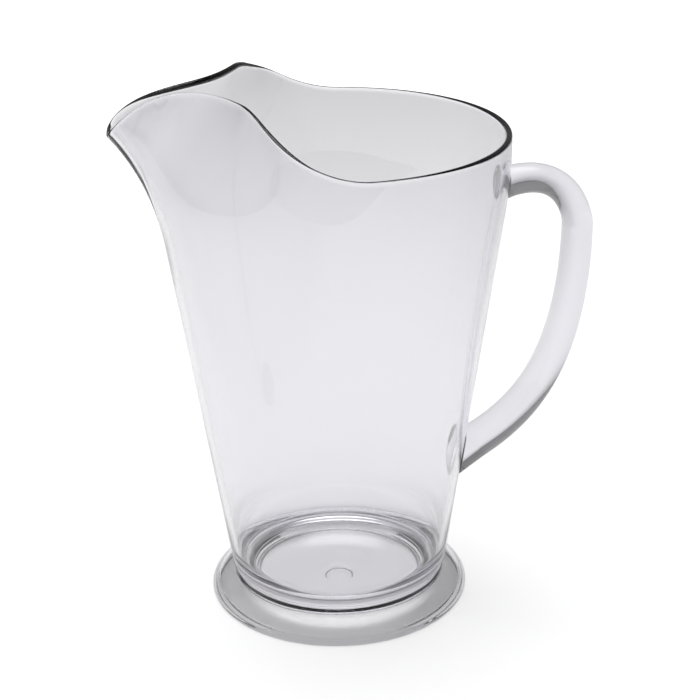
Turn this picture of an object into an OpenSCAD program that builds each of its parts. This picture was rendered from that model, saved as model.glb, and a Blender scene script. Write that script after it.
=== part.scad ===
// Clear plastic beer pitcher: a tapered moulded body with a pinched pouring
// spout, a flared foot ring bonded round its base and a bonded loop handle.
// Millimetres, +Z up. The origin is on the body axis, in the plane the foot
// rests on. The spout points along -X and the handle along +X.

/* [Body] */
// Outer radius of the level part of the rim
rim_radius = 70; // [65:0.5:76]
// Height of the level part of the rim above the table
rim_height = 199.5; // [185:0.5:215]
// Outer radius the taper would have at the table
base_radius = 43.2; // [40:0.2:46]
// Height below the rim over which the taper bends upright
rim_bend = 32.5; // [24:0.5:42]
// Upright band just under the rim
rim_upright = 5; // [2:0.5:9]
// Wall thickness
wall = 2.5; // [2:0.1:3]
// Height of the top of the floor above the table
floor_height = 3.3; // [3:0.1:4]
// Floor thickness
floor_thickness = 2.4; // [2:0.1:2.6]
// Radius of the wide hollow corner between floor and wall
floor_fillet = 25; // [23:0.5:28]
// Width of the ring under the corner
ring_width = 2.5; // [2:0.1:3.2]
// Distance of that ring in from the outside of the wall
ring_setback = 6.6; // [6:0.1:7.2]
// Clear height of that ring above the table
ring_lift = 4.4; // [3.8:0.1:5]
// Depth of the groove between that ring and the wall
groove_depth = 2.2; // [1.6:0.1:2.6]
// Width of the wall's foot beside the groove
wall_foot = 2.1; // [1.8:0.1:2.6]
// Draft on the sides of that ring
ring_draft = 0.4; // [0.2:0.1:0.6]
// Radius of the shallow gate mark under the floor
gate_radius = 6; // [4:0.5:8]
// Depth of the gate mark
gate_depth = 0.5; // [0.3:0.1:0.8]

/* [Spout] */
// Reach of the pouring tip beyond the rim radius
spout_reach = 15.8; // [12:0.2:19]
// Height of the spout shoulders above the level rim
spout_lift = 20.9; // [16:0.2:25]
// Height of the pouring tip above the level rim
tip_lift = 3.4; // [1:0.2:6]
// Distance behind the body axis at which the rim starts to climb
climb_back = 9.6; // [5:0.2:14]
// Angle from the spout at which the round rim turns in
turn_in_angle = 80.2; // [76:0.2:84]
// Distance of the shoulder corners in front of the body axis
shoulder_forward = 33.8; // [31:0.2:37]
// Half width across the shoulder corners
shoulder_half_width = 38.2; // [35:0.2:42]
// Direction of the rim at the shoulder corners
shoulder_angle = 66; // [60:1:72]
// Distance of the narrow neck behind the rim radius
neck_setback = 4.4; // [2:0.2:7]
// Half width of the neck
neck_half_width = 6.4; // [5.6:0.1:8]
// Half width of the lip beyond the neck
lip_half_width = 9.7; // [8.6:0.1:11]
// Length of the rounded end of the lip
lip_round = 4.3; // [3.4:0.1:5.4]
// How late the lip droops, larger is later
lip_droop = 3.7; // [3:0.1:4.5]
// Rounding of the rim over the shoulder corners
shoulder_round = 2.5; // [1.5:0.1:4]
// Height below the level rim at which the spout starts to swell
spout_depth = 44.5; // [38:0.5:52]
// How late the spout swells, larger is later
spout_swell = 2.5; // [2.1:0.1:3]

/* [Foot] */
// Outer radius of the foot
foot_radius = 54.3; // [52:0.2:58]
// Height of the foot against the body
foot_height = 9.3; // [8.4:0.1:10.4]
// Radius of the rounded outer edge
foot_edge = 1.7; // [1.3:0.1:2]
// Width of the flat top of the foot next to the body
foot_land = 0.5; // [0.3:0.1:1]
// Slope of the arched skirt where it meets the edge
foot_end_tilt = 54; // [50:1:60]
// Height of the collar bonded round the body
collar_height = 3.1; // [2.8:0.1:4]
// Wall thickness of the arched skirt
skirt_wall = 2.6; // [2.2:0.1:3]
// Width of the flat ring the foot rests on
rest_width = 2.2; // [1.6:0.1:2.8]
// Bond line between foot or handle and body
bond_gap = 0.1; // [0.05:0.05:0.2]

/* [Handle] */
// Height of the upper joint below the level rim
handle_drop = 24.8; // [22:0.2:30]
// Rise of the handle where it leaves the upper joint
handle_rise_angle = 20; // [12:1:26]
// Reach of the handle's centre line beyond the rim radius
handle_reach = 28.6; // [24:0.2:36]
// Height at which the handle is farthest out
handle_back_height = 157.4; // [150:0.2:162]
// Height of the lower joint
handle_foot_height = 58.9; // [50:0.2:68]
// Slope of the handle at the lower joint
handle_foot_angle = 34.4; // [26:0.2:42]
// Thickness at the upper joint
handle_top_thickness = 11; // [9.5:0.1:13]
// Thickness at the lower joint
handle_foot_thickness = 15; // [13:0.1:17]
// Width at the upper joint
handle_top_width = 15; // [13:0.2:18]
// Width at the lower joint
handle_foot_width = 17.6; // [15:0.2:20]
// Extra thickness where the handle meets the wall
joint_flare = 1.6; // [0:0.1:2.4]

/* [Hidden] */
$fn = 96;

// outer wall profile
bend_low = rim_height - rim_bend;
bend_high = rim_height - rim_upright;
taper = (rim_radius - base_radius) / ((bend_low + bend_high) / 2);
lean = atan(taper);
bend_span = bend_high - bend_low;
function bend_part(z) = max(0, min(bend_span, z - bend_low));
function outer_radius(z) =
    base_radius
    + taper * min(z, bend_low)
    + taper * bend_part(z)
    - taper * pow(bend_part(z), 2) / (2 * bend_span);

// general helpers
function bezier(a, b, c, d, t) =
    pow(1 - t, 3) * a + 3 * t * pow(1 - t, 2) * b + 3 * t * t * (1 - t) * c + t * t * t * d;
function bezier_slope(a, b, c, d, t) =
    3 * pow(1 - t, 2) * (b - a) + 6 * t * (1 - t) * (c - b) + 3 * t * t * (d - c);
function unit(v) = v / norm(v);
function mix(a, b, t) = a + (b - a) * t;

// plan of the rim, from the handle round to the pouring tip, as
// [forward, sideways] from the body axis
turn_in = rim_radius * [cos(turn_in_angle), sin(turn_in_angle)];
turn_in_way = [sin(turn_in_angle), -cos(turn_in_angle)];
shoulder = [shoulder_forward, shoulder_half_width];
shoulder_way = [cos(shoulder_angle), -sin(shoulder_angle)];
neck = [rim_radius - neck_setback, neck_half_width];
tip = [rim_radius + spout_reach, 0];
lip = [tip[0] - lip_round, lip_half_width];
ahead = [1, 0];
across = [0, -1];
run_in = norm(shoulder - turn_in);
run_neck = norm(neck - shoulder);
run_lip = norm(lip - neck);
run_tip = norm(tip - lip);

// steps round half the rim
steps_round = 20;
steps_in = 9;
steps_neck = 11;
steps_lip = 6;
steps_tip = 5;

// plan of one side of the spout, from where the rim turns in to the tip
spout_plan = concat(
    [for (k = [0 : steps_in])
        bezier(turn_in, turn_in + turn_in_way * run_in * 0.33,
               shoulder - shoulder_way * run_in * 0.34, shoulder, k / steps_in)],
    [for (k = [1 : steps_neck])
        bezier(shoulder, shoulder + shoulder_way * run_neck * 0.24,
               neck - ahead * run_neck * 0.44, neck, k / steps_neck)],
    [for (k = [1 : steps_lip])
        bezier(neck, neck + ahead * run_lip * 0.32,
               lip - ahead * run_lip * 0.28, lip, k / steps_lip)],
    [for (k = [1 : steps_tip])
        bezier(lip, lip + ahead * run_tip * 0.42,
               tip - across * run_tip * 0.4, tip, k / steps_tip)]
);
spout_last = len(spout_plan) - 1;

// length along that side up to each point
spout_run = [for (k = 0, run = 0; k <= spout_last;
    run = run + (k < spout_last ? norm(spout_plan[k + 1] - spout_plan[k]) : 0), k = k + 1) run];

// each station is [forward, sideways, wall angle from the spout], and the
// wall is shared out evenly along the spout's rim
half_rim = concat(
    [for (k = [0 : steps_round - 1])
        let (a = mix(180, turn_in_angle, k / steps_round))
        [rim_radius * cos(a), rim_radius * sin(a), a]],
    [for (k = [0 : spout_last])
        [spout_plan[k][0], spout_plan[k][1], turn_in_angle * (1 - spout_run[k] / spout_run[spout_last])]]
);
last = len(half_rim) - 1;
count = 2 * last;

// height of the rim edge at a distance in front of the axis: a climb and a
// falling lip, blended over the shoulder
droop = spout_lift - tip_lift;
function lip_share(x) = max(0, (x - shoulder_forward) / (tip[0] - shoulder_forward));
function rim_climb(x) = spout_lift * pow(max(0, x + climb_back) / (shoulder_forward + climb_back), 2);
function rim_fall(x) = spout_lift - droop * pow(lip_share(x), lip_droop);
function rim_rise(x) =
    let (blend = max(0, min(1, 0.5 + 0.5 * (rim_fall(x) - rim_climb(x)) / shoulder_round)))
    mix(rim_fall(x), rim_climb(x), blend) - shoulder_round * blend * (1 - blend);

// full ring of stations, running from the handle round by +Y
function half_index(i) = i <= last ? i : count - i;
function side(i) = i <= last ? 1 : -1;
function station(i) = half_rim[half_index(i)];
function heading(i) = [-cos(station(i)[2]), side(i) * sin(station(i)[2])];
function rim_plan(i) = [-station(i)[0], side(i) * station(i)[1]];
function edge_height(i) = rim_height + rim_rise(station(i)[0]) - wall / 2;

// outer skin above the spout's start
swell_low = rim_height - spout_depth;
swell_steps = 12;
function swell_point(i, t) =
    let (z = mix(swell_low, edge_height(i), t))
    let (pull = rim_plan(i) - outer_radius(edge_height(i)) * heading(i))
    let (p = outer_radius(z) * heading(i) + pow(t, spout_swell) * pull)
    [p[0], p[1], z];
function swell_share(j) = pow(j / swell_steps, 0.85);
function circle_ring(r, z) =
    [for (i = [0 : count - 1]) [r * heading(i)[0], r * heading(i)[1], z]];
swell = [for (j = [0 : swell_steps])
    [for (i = [0 : count - 1]) swell_point(i, swell_share(j))]];
below_swell = circle_ring(outer_radius(swell_low - 4), swell_low - 4);

// outward direction of the outer skin
function row(j) = j < 0 ? below_swell : swell[j];
function skin_way(j, i) =
    let (along = row(j)[(i + 1) % count] - row(j)[(i + count - 1) % count])
    let (up = row(min(j + 1, swell_steps))[i] - row(j - 1)[i])
    unit(cross(along, up));
function edge_up(i) = unit(swell[swell_steps][i] - swell[swell_steps - 1][i]);
ways = [for (j = [0 : swell_steps])
    [for (i = [0 : count - 1]) skin_way(j, i)]];

// rounded rim edge, from the outer skin over to the inner skin
edge_steps = 5;
function edge_point(i, k) =
    let (out = ways[swell_steps][i])
    let (middle = swell[swell_steps][i] - out * wall / 2)
    let (a = 180 * k / edge_steps)
    middle + (out * cos(a) + edge_up(i) * sin(a)) * wall / 2;

// floor, its wide corner and the ring and groove underneath
under = floor_height - floor_thickness;
fillet_z = floor_height + floor_fillet;
fillet_r = outer_radius(fillet_z) - (wall + floor_fillet) / cos(lean);
fillet_steps = 9;
seat_z = foot_height - collar_height;
seat_r = outer_radius(seat_z);
ring_out = seat_r - ring_setback;
ring_in = ring_out - ring_width;
under_bend = floor_fillet + floor_thickness;
under_end = -acos((ring_in - fillet_r) / under_bend);
under_steps = 5;

lower_rings = concat(
    [circle_ring(gate_radius - gate_depth, under + gate_depth)],
    [circle_ring(gate_radius, under)],
    [for (k = [0 : under_steps])
        let (a = mix(-90, under_end, k / under_steps))
        circle_ring(fillet_r + under_bend * cos(a), fillet_z + under_bend * sin(a))],
    [circle_ring(ring_in + ring_draft, ring_lift)],
    [circle_ring(ring_out - ring_draft, ring_lift)],
    [circle_ring(ring_out, seat_z + groove_depth)],
    [circle_ring(seat_r - wall_foot - ring_draft, seat_z + groove_depth)],
    [circle_ring(seat_r - wall_foot, seat_z)],
    [circle_ring(seat_r, seat_z)]
);
outer_rings = [for (j = [0 : swell_steps]) swell[j]];
edge_rings = [for (k = [1 : edge_steps - 1]) [for (i = [0 : count - 1]) edge_point(i, k)]];
inner_rings = [for (j = [swell_steps : -1 : 0])
    [for (i = [0 : count - 1]) swell[j][i] - wall * ways[j][i]]];
floor_rings = [for (k = [0 : fillet_steps])
    let (a = mix(-lean, -90, k / fillet_steps))
    circle_ring(fillet_r + floor_fillet * cos(a), fillet_z + floor_fillet * sin(a))];

shell = concat(lower_rings, outer_rings, edge_rings, inner_rings, floor_rings);
first_free = len(lower_rings);
last_free = len(shell) - len(floor_rings) - 1;
ring_total = len(shell);

// faces between two neighbouring rings, flat where both rings are round
function spot(j, i) = j * count + i % count;
function is_round(j) = j < first_free || j >= last_free;
function band(j) =
    is_round(j)
    ? [for (i = [0 : count - 1])
        [spot(j, i), spot(j + 1, i), spot(j + 1, i + 1), spot(j, i + 1)]]
    : [for (i = [0 : count - 1], h = [0, 1])
        h == 0
        ? [spot(j, i), spot(j + 1, i), spot(j + 1, i + 1)]
        : [spot(j, i), spot(j + 1, i + 1), spot(j, i + 1)]];

module body() {
    color([0.88, 0.88, 0.91, 0.4])
    polyhedron(
        points = [for (ring = shell) each ring],
        faces = concat(
            [[for (i = [0 : count - 1]) spot(0, i)]],
            [for (j = [0 : ring_total - 2]) each band(j)],
            [[for (i = [count - 1 : -1 : 0]) spot(ring_total - 1, i)]]
        ),
        convexity = 6
    );
}

// foot section, as [radius, height]: an arched skirt with a rounded edge,
// whose collar fits the taper of the body
edge_mid = [foot_radius - foot_edge, foot_edge];
foot_bore_top = outer_radius(foot_height) + bond_gap;
foot_bore_low = seat_r + bond_gap;
land_end = [foot_bore_top + foot_land, foot_height];
edge_top_angle = 90 - foot_end_tilt;
slope_end = edge_mid + foot_edge * [cos(edge_top_angle), sin(edge_top_angle)];
slope_fall = atan2(land_end[1] - slope_end[1], slope_end[0] - land_end[0]);
arch_radius = norm(slope_end - land_end) / (2 * sin(foot_end_tilt - slope_fall));
arch_mid = slope_end - arch_radius * [cos(edge_top_angle), sin(edge_top_angle)];
arch_top_angle = 90 - 2 * slope_fall + foot_end_tilt;
arch_inside = arch_radius - skirt_wall;
rest_in = edge_mid[0] - rest_width;
skirt_high_angle = asin((seat_z - arch_mid[1]) / arch_inside);
skirt_low_angle = acos((rest_in - arch_mid[0]) / arch_inside);
edge_turns = 8;
arch_turns = 8;
function arc_points(middle, radius, start, end, turns) =
    [for (k = [0 : turns])
        let (a = mix(start, end, k / turns))
        middle + radius * [cos(a), sin(a)]];

module foot() {
    color([0.84, 0.84, 0.9, 0.45])
    rotate_extrude()
    polygon(concat(
        [[rest_in, 0]],
        arc_points(edge_mid, foot_edge, -90, edge_top_angle, edge_turns),
        [for (k = [1 : arch_turns])
            let (a = mix(edge_top_angle, arch_top_angle, k / arch_turns))
            arch_mid + arch_radius * [cos(a), sin(a)]],
        [[foot_bore_top, foot_height]],
        [[foot_bore_low, seat_z]],
        arc_points(arch_mid, arch_inside, skirt_high_angle, skirt_low_angle, arch_turns)
    ));
}

// handle centre line, as [outwards, height]
handle_top_z = rim_height - handle_drop;
joint_top = [outer_radius(handle_top_z) - 3, handle_top_z];
joint_low = [outer_radius(handle_foot_height), handle_foot_height];
back = [rim_radius + handle_reach, handle_back_height];
top_way = [cos(handle_rise_angle), sin(handle_rise_angle)];
low_way = [cos(handle_foot_angle), sin(handle_foot_angle)];
drop_top = handle_top_z - handle_back_height;
drop_low = handle_back_height - handle_foot_height;
top_a = joint_top + top_way * 0.92 * (back[0] - joint_top[0]);
top_b = back + [0, 0.17 * drop_top];
low_a = back - [0, 0.76 * drop_low];
low_b = joint_low + low_way * 0.37 * (back[0] - joint_low[0]);
handle_steps = 20;
handle_sides = 24;
sink = 9;

// sections as [point, direction, share of the way down]
handle_path = concat(
    [[joint_top - top_way * sink, top_way, 0]],
    [for (k = [0 : handle_steps])
        let (t = k / handle_steps)
        [bezier(joint_top, top_a, top_b, back, t),
         unit(bezier_slope(joint_top, top_a, top_b, back, t)), 0.35 * t]],
    [for (k = [1 : handle_steps])
        let (t = k / handle_steps)
        [bezier(back, low_a, low_b, joint_low, t),
         unit(bezier_slope(back, low_a, low_b, joint_low, t)), mix(0.35, 1, t)]],
    [[joint_low - low_way * sink, -low_way, 1]]
);
function flare(s) = joint_flare * (pow(max(0, 1 - s / 0.14), 2) + pow(max(0, 1 - (1 - s) / 0.1), 2));
function handle_section(p) =
    let (half_t = (mix(handle_top_thickness, handle_foot_thickness, p[2]) + flare(p[2])) / 2)
    let (half_w = mix(handle_top_width, handle_foot_width, p[2]) / 2)
    let (out = [-p[1][1], p[1][0]])
    [for (k = [0 : handle_sides - 1])
        let (a = 360 * k / handle_sides)
        [p[0][0] + out[0] * half_t * cos(a), half_w * sin(a), p[0][1] + out[1] * half_t * cos(a)]];
handle_rings = [for (p = handle_path) handle_section(p)];
handle_last = len(handle_rings) - 1;
function grip(j, k) = j * handle_sides + k % handle_sides;

// solid of the body's outside, enlarged by the bond line
module bonded_outside() {
    bends = 16;
    rotate_extrude()
    polygon(concat(
        [[0, foot_height]],
        [[outer_radius(foot_height) + bond_gap, foot_height]],
        [for (k = [0 : bends])
            let (z = mix(bend_low, bend_high, k / bends))
            [outer_radius(z) + bond_gap, z]],
        [[rim_radius + bond_gap, rim_height + spout_lift]],
        [[0, rim_height + spout_lift]]
    ));
}

module handle() {
    color([0.88, 0.88, 0.91, 0.4])
    difference() {
        polyhedron(
            points = [for (ring = handle_rings) each ring],
            faces = concat(
                [[for (k = [handle_sides - 1 : -1 : 0]) grip(0, k)]],
                [for (j = [0 : handle_last - 1], k = [0 : handle_sides - 1], h = [0, 1])
                    h == 0
                    ? [grip(j, k), grip(j + 1, k + 1), grip(j + 1, k)]
                    : [grip(j, k), grip(j, k + 1), grip(j + 1, k + 1)]],
                [[for (k = [0 : handle_sides - 1]) grip(handle_last, k)]]
            ),
            convexity = 6
        );
        bonded_outside();
    }
}

body();
foot();
handle();
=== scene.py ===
import math

import bpy
from mathutils import Matrix, Vector, kdtree


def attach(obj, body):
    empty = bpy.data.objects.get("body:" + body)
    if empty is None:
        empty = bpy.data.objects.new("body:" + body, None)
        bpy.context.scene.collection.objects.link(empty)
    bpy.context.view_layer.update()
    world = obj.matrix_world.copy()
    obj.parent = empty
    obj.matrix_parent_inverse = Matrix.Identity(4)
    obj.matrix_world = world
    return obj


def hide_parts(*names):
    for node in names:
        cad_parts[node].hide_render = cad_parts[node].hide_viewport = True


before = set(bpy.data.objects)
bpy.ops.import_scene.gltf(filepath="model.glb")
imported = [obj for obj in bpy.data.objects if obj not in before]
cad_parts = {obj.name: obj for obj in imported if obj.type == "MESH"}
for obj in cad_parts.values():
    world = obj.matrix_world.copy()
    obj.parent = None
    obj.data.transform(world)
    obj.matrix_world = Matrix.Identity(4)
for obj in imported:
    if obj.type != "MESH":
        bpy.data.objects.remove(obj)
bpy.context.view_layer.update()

# Sizes of the pitcher in millimetres, the same as in the part's source
RIM_RADIUS = 70.0
RIM_HEIGHT = 199.5
BASE_RADIUS = 43.2
RIM_BEND = 32.5
RIM_UPRIGHT = 5.0
WALL = 2.5
FLOOR_HEIGHT = 3.3
FLOOR_THICKNESS = 2.4
FLOOR_FILLET = 25.0
RING_WIDTH = 2.5
RING_SETBACK = 6.6
RING_LIFT = 4.4
RING_DRAFT = 0.4
GROOVE_DEPTH = 2.2
WALL_FOOT = 2.1
GATE_RADIUS = 6.0
GATE_DEPTH = 0.5

SPOUT_REACH = 15.8
SPOUT_LIFT = 20.9
TIP_LIFT = 3.4
CLIMB_BACK = 9.6
TURN_IN_ANGLE = 80.2
SHOULDER = (33.8, 38.2)
SHOULDER_ANGLE = 66.0
NECK_SETBACK = 4.4
NECK_HALF_WIDTH = 6.4
LIP_HALF_WIDTH = 9.7
LIP_ROUND = 4.3
LIP_DROOP = 3.7
SHOULDER_ROUND = 2.5
SPOUT_DEPTH = 44.5
SPOUT_SWELL = 2.5

FOOT_RADIUS = 54.3
FOOT_HEIGHT = 9.3
FOOT_EDGE = 1.7
FOOT_LAND = 0.5
FOOT_END_TILT = 54.0
COLLAR_HEIGHT = 3.1
SKIRT_WALL = 2.6
REST_WIDTH = 2.2
BOND_GAP = 0.1

HANDLE_DROP = 24.8
HANDLE_RISE_ANGLE = 20.0
HANDLE_REACH = 28.6
HANDLE_BACK_HEIGHT = 157.4
HANDLE_FOOT_HEIGHT = 58.9
HANDLE_FOOT_ANGLE = 34.4
HANDLE_TOP_THICKNESS = 11.0
HANDLE_FOOT_THICKNESS = 15.0
HANDLE_TOP_WIDTH = 15.0
HANDLE_FOOT_WIDTH = 17.6
HANDLE_SINK = 3.0
HANDLE_TOP_PULLS = (0.92, 0.17)
HANDLE_LOW_PULLS = (0.76, 0.37)
HANDLE_BACK_SHARE = 0.35
JOINT_FLARE = 1.6
JOINT_FLARE_SHARES = (0.14, 0.1)

MM = 0.001

# Only in the render: where the plain wall starts over the foot, small rounds on the base's corners,
# the width of the dark line round a bonded end, and how clear of the wall the grip's first ring is
WALL_START = FOOT_HEIGHT + 4
CORNER_ROUND = 0.35
BOND_LINE = 0.5
GRIP_CLEARANCE = 0.05

# Clear plastic
PLASTIC_COLOUR = (0.97, 0.967, 0.98)
PLASTIC_TINT = (0.72, 0.68, 0.87)
PLASTIC_DENSITY = 10.0
PLASTIC_IOR = 1.57
PLASTIC_ROUGHNESS = (0.005, 0.03)
BOND_COLOUR = (0.04, 0.04, 0.05)

# Paper floor in metres: its lift towards white for the eye and for bent rays, near and far,
# and for bent rays also by the distance from the axis and towards the right. For bent rays the lift is
# painted light:
# painted shade towards the back, a painted pool of light under the pitcher, a painted contact shadow
# round the foot and a painted shadow towards the right
PAPER_COLOUR = (0.86, 0.86, 0.87)
PAPER_SIZE = 8.0
PAPER_DEPTHS = (0.1, 1.2)
PAPER_LIFT = (0.58, 0.74)
# For bent rays the lift fades from near to far: painted shade of the less lit paper at the back
PAPER_BENT_LIFT_WITH_PAINTED_FALLOFF = (0.56, 0.02)
# Painted light and shadow for bent rays by the distance from the axis (radius, share): brighter under
# the pitcher, darker round the foot
PAPER_PAINTED_LIGHT_AND_SHADOW_RINGS = ((0.0, 1.0), (0.036, 1.0), (0.043, 0.4), (0.054, 0.4), (0.064, 0.7), (0.12, 0.63))
# Painted shadow for bent rays: the lift falls to a share towards the right, where the pitcher's shadow
# falls
PAPER_PAINTED_SHADOW_RIGHT = (0.1, 0.4)
PAPER_PAINTED_SHADOW_RIGHT_SHARES = (1.0, 0.35)

# Light: a round soft box overhead and a dim room, with brighter sides (way, soft edge, level)
SOFTBOX_PLACE = (-0.05, 0.6, 2.0)
SOFTBOX_RADIUS = 1.15
SOFTBOX_CORE = 0.5
SOFTBOX_LEVEL = 2.55
ROOM_HEIGHTS = (0.0, 0.6)
ROOM_LEVELS = (0.15, 0.04)
ROOM_SIDES = (
    ((0.0, 0.87, 0.5), (0.35, 0.85), 0.2),
    ((-0.8, -0.1, 0.59), (0.55, 0.9), 0.56),
    ((0.0, -0.63, 0.77), (0.5, 0.9), 0.55),
)

# Camera in metres, fitted to the outlines of rim, wall and foot
CAMERA_PLACE = Vector((-0.05563, -0.63584, 0.37730))
CAMERA_RIGHT = Vector((0.994646, -0.102422, -0.013753))
CAMERA_UP = Vector((0.052502, 0.386205, 0.920918))
CAMERA_LENS = 87.352
CAMERA_SENSOR = 36.0
LIGHT_BOUNCES = 9


def mix(a, b, t):
    return a + (b - a) * t


def bezier(a, b, c, d, t):
    a, b, c, d = Vector(a), Vector(b), Vector(c), Vector(d)
    s = 1 - t
    return a * s**3 + b * (3 * t * s * s) + c * (3 * t * t * s) + d * t**3


def bezier_slope(a, b, c, d, t):
    a, b, c, d = Vector(a), Vector(b), Vector(c), Vector(d)
    s = 1 - t
    return (b - a) * (3 * s * s) + (c - b) * (6 * t * s) + (d - c) * (3 * t * t)


def heading(degrees):
    return Vector((math.cos(math.radians(degrees)), math.sin(math.radians(degrees))))


# Body wall

BEND_LOW = RIM_HEIGHT - RIM_BEND
BEND_HIGH = RIM_HEIGHT - RIM_UPRIGHT
BEND_SPAN = BEND_HIGH - BEND_LOW
TAPER = (RIM_RADIUS - BASE_RADIUS) / ((BEND_LOW + BEND_HIGH) / 2)
LEAN = math.degrees(math.atan(TAPER))


def outer_radius(z):
    bend = max(0.0, min(BEND_SPAN, z - BEND_LOW))
    return BASE_RADIUS + TAPER * (min(z, BEND_LOW) + bend - bend * bend / (2 * BEND_SPAN))


def rim_rise(forward, tip_forward):
    """Height of the rim over its level part: a climb and a falling lip, blended at the shoulder."""
    climb = SPOUT_LIFT * (max(0.0, forward + CLIMB_BACK) / (SHOULDER[0] + CLIMB_BACK)) ** 2
    share = max(0.0, forward - SHOULDER[0]) / (tip_forward - SHOULDER[0])
    lip = SPOUT_LIFT - (SPOUT_LIFT - TIP_LIFT) * share**LIP_DROOP
    blend = max(0.0, min(1.0, 0.5 + 0.5 * (lip - climb) / SHOULDER_ROUND))
    return mix(lip, climb, blend) - SHOULDER_ROUND * blend * (1 - blend)


def rim_curve(start, start_way, leave, end, end_way, arrive, steps):
    """Points after the start of a stretch of the rim, whose pulls are shares of its run."""
    run = (end - start).length
    pulls = (start + start_way * run * leave, end - end_way * run * arrive)
    return [bezier(start, *pulls, end, k / steps) for k in range(1, steps + 1)]


def rim_stations(round_steps, in_steps, neck_steps, lip_steps, tip_steps):
    """Half the rim, from the handle to the pouring tip: (forward, sideways, wall angle)."""
    turn_in = heading(TURN_IN_ANGLE) * RIM_RADIUS
    turn_in_way = heading(TURN_IN_ANGLE - 90)
    shoulder = Vector(SHOULDER)
    shoulder_way = heading(-SHOULDER_ANGLE)
    neck = Vector((RIM_RADIUS - NECK_SETBACK, NECK_HALF_WIDTH))
    tip = Vector((RIM_RADIUS + SPOUT_REACH, 0))
    lip = Vector((tip.x - LIP_ROUND, LIP_HALF_WIDTH))
    ahead, across = Vector((1, 0)), Vector((0, -1))
    stations = []
    for k in range(round_steps):
        angle = mix(180, TURN_IN_ANGLE, k / round_steps)
        stations.append((*(heading(angle) * RIM_RADIUS), angle))
    points = [turn_in]
    points += rim_curve(turn_in, turn_in_way, 0.33, shoulder, shoulder_way, 0.34, in_steps)
    points += rim_curve(shoulder, shoulder_way, 0.24, neck, ahead, 0.44, neck_steps)
    points += rim_curve(neck, ahead, 0.32, lip, ahead, 0.28, lip_steps)
    points += rim_curve(lip, ahead, 0.42, tip, across, 0.4, tip_steps)
    runs = [0.0]
    for p, q in zip(points, points[1:]):
        runs.append(runs[-1] + (q - p).length)
    stations += [(p.x, p.y, TURN_IN_ANGLE * (1 - run / runs[-1])) for p, run in zip(points, runs)]
    return stations


def full_rim(half):
    """All stations from the handle round by +Y, as (plan point, wall heading, rim height)."""
    tip_forward = half[-1][0]
    ring = []
    for side, part in ((1, half), (-1, half[-2:0:-1])):
        for forward, sideways, angle in part:
            way = heading(angle)
            ring.append((
                Vector((-forward, side * sideways)),
                Vector((-way.x, side * way.y)),
                RIM_HEIGHT + rim_rise(forward, tip_forward),
            ))
    return ring


def arc(centre, radius, start, end, steps):
    return [centre + heading(mix(start, end, k / steps)) * radius for k in range(steps + 1)]


def rounded(points, radius, steps=4, least_turn=15):
    """The open outline with each real corner turned into a small arc."""
    out = [points[0]]
    for before, corner, after in zip(points, points[1:], points[2:]):
        one, two = (before - corner), (after - corner)
        if 180 - math.degrees(one.angle(two)) < least_turn:
            out.append(corner)
            continue
        reach = min(radius, one.length * 0.45, two.length * 0.45)
        a, b = corner + one.normalized() * reach, corner + two.normalized() * reach
        for k in range(steps + 1):
            t = k / steps
            out.append(a * (1 - t) ** 2 + corner * (2 * t * (1 - t)) + b * t * t)
    return out + [points[-1]]


def fillet_centre():
    """Centre of the wide inner corner between the wall and the floor."""
    z = FLOOR_HEIGHT + FLOOR_FILLET
    return Vector((outer_radius(z) - (WALL + FLOOR_FILLET) / math.cos(math.radians(LEAN)), z))


def under_outline(seat_z):
    """Underside of the vessel: gate mark, floor, wide corner, ring and groove, out to the wall."""
    under = FLOOR_HEIGHT - FLOOR_THICKNESS
    gate_z = under + GATE_DEPTH
    seat_r = outer_radius(seat_z)
    groove_z = seat_z + GROOVE_DEPTH
    ring_out = seat_r - RING_SETBACK
    ring_in = ring_out - RING_WIDTH
    fillet = fillet_centre()
    bend = FLOOR_FILLET + FLOOR_THICKNESS
    ring_turn = -math.degrees(math.acos((ring_in - fillet.x) / bend))
    gate = [(0, gate_z), (GATE_RADIUS - GATE_DEPTH, gate_z), (GATE_RADIUS, under)]
    ring = [(ring_in + RING_DRAFT, RING_LIFT), (ring_out - RING_DRAFT, RING_LIFT)]
    ring += [(ring_out, groove_z), (seat_r - WALL_FOOT, groove_z)]
    corner = arc(fillet, bend, -90, ring_turn, 10)
    return [Vector(p) for p in gate] + corner + [Vector(p) for p in ring]


def base_outline():
    """Outline under the vessel and round the arched foot, from the middle of the floor to the wall."""
    seat_z = FOOT_HEIGHT - COLLAR_HEIGHT
    edge_mid = Vector((FOOT_RADIUS - FOOT_EDGE, FOOT_EDGE))
    crease = Vector((outer_radius(FOOT_HEIGHT), FOOT_HEIGHT))
    land_end = crease + Vector((FOOT_LAND, 0))
    edge_top = 90 - FOOT_END_TILT
    slope_end = edge_mid + heading(edge_top) * FOOT_EDGE
    chord = slope_end - land_end
    fall = math.degrees(math.atan2(-chord.y, chord.x))
    arch = chord.length / (2 * math.sin(math.radians(FOOT_END_TILT - fall)))
    arch_mid = slope_end - heading(edge_top) * arch
    arch_top = 90 - 2 * fall + FOOT_END_TILT
    rest_in = edge_mid.x - REST_WIDTH
    inside = arch - SKIRT_WALL
    skirt_low = math.degrees(math.acos((rest_in - arch_mid.x) / inside))
    outline = under_outline(seat_z)
    outline += arc(arch_mid, inside, arch_top, skirt_low, 8) + [Vector((rest_in, 0))]
    outline += arc(edge_mid, FOOT_EDGE, -90, edge_top, 12)
    outline += arc(arch_mid, arch, edge_top, arch_top, 12)[1:]
    outline += [crease, Vector((outer_radius(WALL_START), WALL_START))]
    return rounded(outline, CORNER_ROUND)


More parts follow.
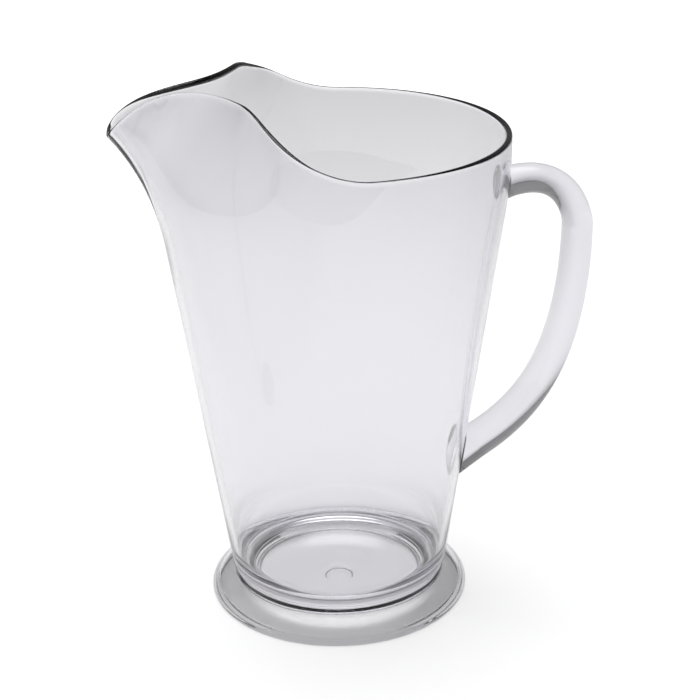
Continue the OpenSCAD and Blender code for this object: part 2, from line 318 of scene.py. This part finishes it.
def body_rows(ring, swell_rows, edge_rows, fillet_rows, wall_rows):
    """Closed section of vessel and foot, ring by ring, from the gate mark to the middle of the floor."""
    count = len(ring)
    low = RIM_HEIGHT - SPOUT_DEPTH

    def round_row(radius, z):
        return [Vector((way.x * radius, way.y * radius, z)) for _, way, _ in ring]

    def swell_row(share):
        row = []
        for plan, way, top in ring:
            end = top - WALL / 2
            z = mix(low, end, share)
            p = way * outer_radius(z) + (plan - way * outer_radius(end)) * share**SPOUT_SWELL
            row.append(Vector((p.x, p.y, z)))
        return row

    swell = [swell_row((j / swell_rows) ** 0.85) for j in range(swell_rows + 1)]
    below = round_row(outer_radius(low - 4), low - 4)

    def skin_ways(j):
        here = swell[j]
        under = swell[j - 1] if j else below
        over = swell[min(j + 1, swell_rows)]
        ways = []
        for i in range(count):
            along = here[(i + 1) % count] - here[i - 1]
            ways.append(along.cross(over[i] - under[i]).normalized())
        return ways

    ways = [skin_ways(j) for j in range(swell_rows + 1)]
    edge = []
    for k in range(1, edge_rows):
        turn = heading(180 * k / edge_rows)
        row = []
        for i in range(count):
            out = ways[-1][i]
            up = (swell[-1][i] - swell[-2][i]).normalized()
            row.append(swell[-1][i] - out * WALL / 2 + (out * turn.x + up * turn.y) * WALL / 2)
        edge.append(row)
    inner = [[p - w * WALL for p, w in zip(swell[j], ways[j])] for j in range(swell_rows, -1, -1)]

    rows = [round_row(p.x, p.y) for p in base_outline()]
    for k in range(1, wall_rows):
        z = mix(WALL_START, low, k / wall_rows)
        rows.append(round_row(outer_radius(z), z))
    rows += swell + edge + inner
    slant = math.cos(math.radians(LEAN))
    top = low + WALL * math.sin(math.radians(LEAN))
    fillet = fillet_centre()
    for k in range(1, wall_rows):
        z = mix(top, fillet.y, k / wall_rows)
        rows.append(round_row(outer_radius(z) - WALL / slant, z))
    rows += [round_row(p.x, p.y) for p in arc(fillet, FLOOR_FILLET, -LEAN, -90, fillet_rows)]
    return rows + [round_row(0.0, FLOOR_HEIGHT)]


# Handle

def handle_path(steps):
    """Middle line of the handle from the upper joint to the lower: (point, slope, share of the way)."""
    top_z = RIM_HEIGHT - HANDLE_DROP
    joint_top = Vector((outer_radius(top_z) - HANDLE_SINK, top_z))
    joint_low = Vector((outer_radius(HANDLE_FOOT_HEIGHT), HANDLE_FOOT_HEIGHT))
    back = Vector((RIM_RADIUS + HANDLE_REACH, HANDLE_BACK_HEIGHT))
    top_a = joint_top + heading(HANDLE_RISE_ANGLE) * HANDLE_TOP_PULLS[0] * (back.x - joint_top.x)
    top_b = back + Vector((0, HANDLE_TOP_PULLS[1] * (top_z - HANDLE_BACK_HEIGHT)))
    low_a = back - Vector((0, HANDLE_LOW_PULLS[0] * (HANDLE_BACK_HEIGHT - HANDLE_FOOT_HEIGHT)))
    low_b = joint_low + heading(HANDLE_FOOT_ANGLE) * HANDLE_LOW_PULLS[1] * (back.x - joint_low.x)
    upper = (joint_top, top_a, top_b, back)
    lower = (back, low_a, low_b, joint_low)
    path = []
    for k in range(steps + 1):
        t = k / steps
        path.append((bezier(*upper, t), bezier_slope(*upper, t), HANDLE_BACK_SHARE * t))
    for k in range(1, steps + 1):
        t = k / steps
        path.append((bezier(*lower, t), bezier_slope(*lower, t), mix(HANDLE_BACK_SHARE, 1, t)))
    return path


def handle_section(point, way, share, sides, size=1.0):
    """One oval ring of the handle, a little thicker at the joints."""
    top_flare = max(0, 1 - share / JOINT_FLARE_SHARES[0]) ** 2
    low_flare = max(0, 1 - (1 - share) / JOINT_FLARE_SHARES[1]) ** 2
    thickness = mix(HANDLE_TOP_THICKNESS, HANDLE_FOOT_THICKNESS, share)
    half_t = (thickness + JOINT_FLARE * (top_flare + low_flare)) / 2 * size
    half_w = mix(HANDLE_TOP_WIDTH, HANDLE_FOOT_WIDTH, share) / 2 * size
    way = way.normalized()
    ring = []
    for k in range(sides):
        turn = heading(360 * k / sides)
        up = half_t * turn.x
        ring.append(Vector((point.x - way.y * up, half_w * turn.y, point.y + way.x * up)))
    return ring


def past_wall(p, gap):
    return math.hypot(p.x, p.y) > outer_radius(p.z) + gap


def to_wall(p, way):
    """Slides a point along the handle's end until it meets the wall's bond line."""
    way = Vector((way.x, 0, way.y))
    low, high = -30.0, 30.0
    for _ in range(40):
        middle = (low + high) / 2
        if past_wall(p + way * middle, BOND_GAP):
            high = middle
        else:
            low = middle
    return p + way * middle


def beside(cap_edge, ring, widths):
    """A ring on the handle's skin, so many widths of the bond line from the cap's edge."""
    near = []
    for p, q in zip(cap_edge, ring):
        step = q - p
        near.append(p + step * min(0.3 * widths, widths * BOND_LINE / step.length))
    return near


def handle_rows(sides, steps, cap_rows):
    """Closed rings of the handle: a cap on the wall, the grip and the other cap."""
    path = handle_path(steps)

    def cap_row(end, angle, size):
        return [to_wall(p, heading(angle)) for p in handle_section(*end, sides, size)]

    top_cap = [cap_row(path[0], HANDLE_RISE_ANGLE, k / cap_rows) for k in range(cap_rows + 1)]
    low_cap = [cap_row(path[-1], HANDLE_FOOT_ANGLE, k / cap_rows) for k in range(cap_rows, -1, -1)]
    grip = [handle_section(*step, sides) for step in path[1:-1]]
    grip = [ring for ring in grip if all(past_wall(p, BOND_GAP + GRIP_CLEARANCE) for p in ring)]
    top_line = [beside(top_cap[-1], grip[0], widths) for widths in (1, 2)]
    low_line = [beside(low_cap[0], grip[-1], widths) for widths in (2, 1)]
    return top_cap + top_line + grip + low_line + low_cap


# Pieces

def deselect():
    if bpy.context.object and bpy.context.object.mode != "OBJECT":
        bpy.ops.object.mode_set(mode="OBJECT")
    bpy.ops.object.select_all(action="DESELECT")


def settle(smooth_angle):
    """Merges the new piece's seams and poles, turns its faces outwards and shades it."""
    bpy.ops.object.mode_set(mode="EDIT")
    bpy.ops.mesh.select_all(action="SELECT")
    bpy.ops.mesh.remove_doubles(threshold=0.000002)
    bpy.ops.mesh.dissolve_degenerate(threshold=0.000001)
    bpy.ops.mesh.normals_make_consistent(inside=False)
    bpy.ops.object.mode_set(mode="OBJECT")
    bpy.ops.object.shade_smooth_by_angle(angle=math.radians(smooth_angle))


def wrap_sheet(name, rows, smooth_angle):
    """A flat grid rolled up and pulled onto closed rings, in millimetres."""
    count = len(rows[0])
    deselect()
    bpy.ops.mesh.primitive_grid_add(x_subdivisions=count, y_subdivisions=len(rows) - 1, size=1.0)
    piece = bpy.context.object
    piece.name = piece.data.name = name
    for vertex in piece.data.vertices:
        column = round((vertex.co.x + 0.5) * count) % count
        row = round((vertex.co.y + 0.5) * (len(rows) - 1))
        vertex.co = rows[row][column] * MM
    settle(smooth_angle)
    return piece


def make_body():
    """Vessel and foot as one closed clear piece."""
    half = rim_stations(round_steps=44, in_steps=26, neck_steps=34, lip_steps=18, tip_steps=16)
    rows = body_rows(full_rim(half), swell_rows=44, edge_rows=12, fillet_rows=32, wall_rows=10)
    return wrap_sheet("pitcher_body", rows, smooth_angle=50)


def make_handle(cap_rows=10):
    """The loop handle, the edges of its two bonded faces marked for the finish."""
    rows = handle_rows(sides=72, steps=60, cap_rows=cap_rows)
    piece = wrap_sheet("pitcher_handle", rows, smooth_angle=35)
    edges = rows[cap_rows] + rows[cap_rows + 1] + rows[-2 - cap_rows] + rows[-1 - cap_rows]
    finder = kdtree.KDTree(len(edges))
    for k, p in enumerate(edges):
        finder.insert(p, k)
    finder.balance()
    bonded = piece.data.attributes.new("bonded", "FLOAT", "POINT")
    for vertex, mark in zip(piece.data.vertices, bonded.data):
        mark.value = 1.0 if finder.find(vertex.co / MM)[2] < 0.01 else 0.0
    return piece


# Finishes

def node_at(tree, kind, x, y):
    node = tree.nodes.new(kind)
    node.location = (x, y)
    return node


def combine(tree, operation, first, second, x, y):
    """One value from two, by a math node."""
    node = node_at(tree, "ShaderNodeMath", x, y)
    node.operation = operation
    tree.links.new(first, node.inputs[0])
    tree.links.new(second, node.inputs[1])
    return node.outputs[0]


def fade(tree, value, span, levels, x, y, curve="SMOOTHSTEP"):
    """Goes from one level to the other as the value crosses the span."""
    node = node_at(tree, "ShaderNodeMapRange", x, y)
    node.interpolation_type = curve
    node.inputs["From Min"].default_value = span[0]
    node.inputs["From Max"].default_value = span[1]
    node.inputs["To Min"].default_value = levels[0]
    node.inputs["To Max"].default_value = levels[1]
    tree.links.new(value, node.inputs["Value"])
    return node.outputs["Result"]


def reach_from_middle(tree, place, x, y):
    """Distance of a point from the middle of its object."""
    node = node_at(tree, "ShaderNodeVectorMath", x, y)
    node.operation = "LENGTH"
    tree.links.new(place.outputs["Object"], node.inputs[0])
    return node.outputs["Value"]


def clear_plastic(name):
    """Polished clear plastic with a faint mould-flow waver and handling haze."""
    material = bpy.data.materials.new(name)
    material.use_nodes = True
    tree = material.node_tree
    surface = tree.nodes["Principled BSDF"]
    surface.inputs["Base Color"].default_value = (*PLASTIC_COLOUR, 1.0)
    surface.inputs["Transmission Weight"].default_value = 1.0
    surface.inputs["IOR"].default_value = PLASTIC_IOR
    place = node_at(tree, "ShaderNodeTexCoord", -1100, 0)
    haze = node_at(tree, "ShaderNodeTexNoise", -850, 150)
    haze.inputs["Scale"].default_value = 55.0
    haze.inputs["Detail"].default_value = 4.0
    tree.links.new(place.outputs["Object"], haze.inputs["Vector"])
    polish = fade(tree, haze.outputs["Fac"], (0.4, 0.75), PLASTIC_ROUGHNESS, -600, 150, "LINEAR")
    tree.links.new(polish, surface.inputs["Roughness"])
    flow = node_at(tree, "ShaderNodeTexNoise", -850, -200)
    flow.inputs["Scale"].default_value = 18.0
    flow.inputs["Detail"].default_value = 1.0
    tree.links.new(place.outputs["Object"], flow.inputs["Vector"])
    waver = node_at(tree, "ShaderNodeBump", -350, -200)
    waver.inputs["Strength"].default_value = 0.04
    waver.inputs["Distance"].default_value = 0.002
    tree.links.new(flow.outputs["Fac"], waver.inputs["Height"])
    tree.links.new(waver.outputs["Normal"], surface.inputs["Normal"])
    depth = node_at(tree, "ShaderNodeVolumeAbsorption", 0, -300)
    depth.inputs["Color"].default_value = (*PLASTIC_TINT, 1.0)
    depth.inputs["Density"].default_value = PLASTIC_DENSITY
    tree.links.new(depth.outputs["Volume"], tree.nodes["Material Output"].inputs["Volume"])
    return material


def darken_bonds(material):
    """Adds a thin dark line where the piece is marked as bonded."""
    tree = material.node_tree
    surface = tree.nodes["Principled BSDF"]
    bonded = node_at(tree, "ShaderNodeAttribute", -850, 450)
    bonded.attribute_name = "bonded"
    clear = fade(tree, bonded.outputs["Fac"], (0.0, 1.0), (1.0, 0.0), -600, 450, "LINEAR")
    tree.links.new(clear, surface.inputs["Transmission Weight"])
    shade = node_at(tree, "ShaderNodeMix", -350, 450)
    shade.data_type = "RGBA"
    shade.inputs["A"].default_value = (*PLASTIC_COLOUR, 1.0)
    shade.inputs["B"].default_value = (*BOND_COLOUR, 1.0)
    tree.links.new(bonded.outputs["Fac"], shade.inputs["Factor"])
    tree.links.new(shade.outputs["Result"], surface.inputs["Base Color"])
    return material


def paper_painted_light_and_shadow(tree, place):
    """Painted light and shadow on the paper by the distance from the pitcher's axis: a painted pool of
    light under the pitcher and a painted contact shadow round the foot.
    """
    widest = PAPER_PAINTED_LIGHT_AND_SHADOW_RINGS[-1][0]
    share = node_at(tree, "ShaderNodeMath", -1000, -600)
    share.operation = "DIVIDE"
    share.inputs[1].default_value = widest
    tree.links.new(reach_from_middle(tree, place, -1200, -600), share.inputs[0])
    rings = node_at(tree, "ShaderNodeValToRGB", -800, -600)
    rings.color_ramp.interpolation = "EASE"
    while len(rings.color_ramp.elements) < len(PAPER_PAINTED_LIGHT_AND_SHADOW_RINGS):
        rings.color_ramp.elements.new(0.5)
    for element, (radius, level) in zip(rings.color_ramp.elements, PAPER_PAINTED_LIGHT_AND_SHADOW_RINGS):
        element.position = radius / widest
        element.color = (level, level, level, 1.0)
    tree.links.new(share.outputs[0], rings.inputs["Fac"])
    return rings.outputs["Color"]


def paper_floor():
    """Pale paper, lifted to white for the eye and less far for gloss and glass, where the lift also
    carries painted light and shadow; the cast shadow stays.
    """
    material = bpy.data.materials.new("paper_sweep")
    material.use_nodes = True
    tree = material.node_tree
    surface = tree.nodes["Principled BSDF"]
    surface.inputs["Base Color"].default_value = (*PAPER_COLOUR, 1.0)
    surface.inputs["Roughness"].default_value = 0.9
    surface.inputs["Specular IOR Level"].default_value = 0.1
    surface.inputs["Emission Color"].default_value = (1, 1, 1, 1)
    ray = node_at(tree, "ShaderNodeLightPath", -1000, 400)
    place = node_at(tree, "ShaderNodeTexCoord", -1400, -200)
    axes = node_at(tree, "ShaderNodeSeparateXYZ", -1200, -200)
    tree.links.new(place.outputs["Object"], axes.inputs["Vector"])
    eye_lift = fade(tree, axes.outputs["Y"], PAPER_DEPTHS, PAPER_LIFT, -800, 600)
    eye = combine(tree, "MULTIPLY", ray.outputs["Is Camera Ray"], eye_lift, -400, 500)
    # Painted light and shade for gloss and glass: a fade towards the back, a pool of light under the
    # pitcher, and shadows round the foot and to the right
    painted_bent_lifts = (
        fade(tree, axes.outputs["Y"], PAPER_DEPTHS, PAPER_BENT_LIFT_WITH_PAINTED_FALLOFF, -800, 0),
        fade(tree, axes.outputs["X"], PAPER_PAINTED_SHADOW_RIGHT, PAPER_PAINTED_SHADOW_RIGHT_SHARES, -800, -300),
        paper_painted_light_and_shadow(tree, place),
    )
    glossy, through = ray.outputs["Is Glossy Ray"], ray.outputs["Is Transmission Ray"]
    bent = combine(tree, "MAXIMUM", glossy, through, -800, 300)
    for k, lift in enumerate(painted_bent_lifts):
        bent = combine(tree, "MULTIPLY", bent, lift, -600 + 150 * k, 200 - 150 * k)
    total = combine(tree, "ADD", eye, bent, -150, 300)
    tree.links.new(total, surface.inputs["Emission Strength"])
    return material


def soft_glow():
    """Even light in the middle of the round soft box, fading out before its edge."""
    material = bpy.data.materials.new("softbox_glow")
    material.use_nodes = True
    tree = material.node_tree
    tree.nodes.remove(tree.nodes["Principled BSDF"])
    glow = node_at(tree, "ShaderNodeEmission", 0, 0)
    glow.inputs["Strength"].default_value = SOFTBOX_LEVEL
    clear = node_at(tree, "ShaderNodeBsdfTransparent", 0, 200)
    place = node_at(tree, "ShaderNodeTexCoord", -800, 0)
    reach = reach_from_middle(tree, place, -600, 0)
    share = fade(tree, reach, (SOFTBOX_CORE, SOFTBOX_RADIUS), (1.0, 0.0), -400, 0)
    blend = node_at(tree, "ShaderNodeMixShader", 200, 100)
    tree.links.new(share, blend.inputs["Fac"])
    tree.links.new(clear.outputs["BSDF"], blend.inputs[1])
    tree.links.new(glow.outputs["Emission"], blend.inputs[2])
    tree.links.new(blend.outputs["Shader"], tree.nodes["Material Output"].inputs["Surface"])
    return material


def studio_room():
    """Dim room, darker overhead, with a few brighter sides, and white where the eye sees it."""
    world = bpy.data.worlds.new("studio")
    world.use_nodes = True
    tree = world.node_tree
    sky = tree.nodes["Background"]
    sky.inputs["Color"].default_value = (1.0, 1.0, 1.0, 1.0)
    view = node_at(tree, "ShaderNodeTexCoord", -900, 0)
    axes = node_at(tree, "ShaderNodeSeparateXYZ", -700, 200)
    tree.links.new(view.outputs["Generated"], axes.inputs["Vector"])
    level = fade(tree, axes.outputs["Z"], ROOM_HEIGHTS, ROOM_LEVELS, -500, 200)
    for k, (way, edge, side_level) in enumerate(ROOM_SIDES):
        facing = node_at(tree, "ShaderNodeVectorMath", -700, -200 * k)
        facing.operation = "DOT_PRODUCT"
        facing.inputs[1].default_value = way
        tree.links.new(view.outputs["Generated"], facing.inputs[0])
        side = fade(tree, facing.outputs["Value"], edge, (0.0, side_level), -500, -200 * k)
        level = combine(tree, "MAXIMUM", level, side, -250, 200 - 200 * k)
    ray = node_at(tree, "ShaderNodeLightPath", -250, 450)
    level = combine(tree, "MAXIMUM", level, ray.outputs["Is Camera Ray"], -50, 200)
    tree.links.new(level, sky.inputs["Strength"])
    return world


# Build

for piece, nodes, slot, finish in (
    (make_body(), ("body", "foot"), "body_clear", clear_plastic("clear_body")),
    (make_handle(), ("handle",), "handle_clear", darken_bonds(clear_plastic("clear_handle"))),
):
    piece.data.materials.clear()
    piece.data.materials.append(finish)
    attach(piece, "root")
    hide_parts(*nodes)

# Stage

deselect()
bpy.ops.mesh.primitive_plane_add(size=PAPER_SIZE, location=(0, 0, 0))
floor = bpy.context.object
floor.name = "floor"
floor.data.materials.append(paper_floor())

deselect()
bpy.ops.mesh.primitive_circle_add(
    vertices=64, radius=SOFTBOX_RADIUS, fill_type="TRIFAN", location=SOFTBOX_PLACE
)
softbox = bpy.context.object
softbox.name = "softbox"
softbox.visible_camera = False
softbox.data.materials.append(soft_glow())

bpy.context.scene.world = studio_room()

# Camera

lens = bpy.data.cameras.new("camera")
lens.sensor_fit = "HORIZONTAL"
lens.sensor_width = CAMERA_SENSOR
lens.lens = CAMERA_LENS
lens.clip_start = 0.01
camera = bpy.data.objects.new("camera", lens)
bpy.context.scene.collection.objects.link(camera)
turn = Matrix((CAMERA_RIGHT, CAMERA_UP, CAMERA_RIGHT.cross(CAMERA_UP))).transposed()
camera.matrix_world = Matrix.Translation(CAMERA_PLACE) @ turn.to_4x4()
bpy.context.scene.camera = camera

bpy.context.scene.view_settings.view_transform = "Standard"
bpy.context.scene.cycles.max_bounces = LIGHT_BOUNCES
bpy.context.scene.cycles.transmission_bounces = LIGHT_BOUNCES
bpy.context.scene.cycles.glossy_bounces = LIGHT_BOUNCES
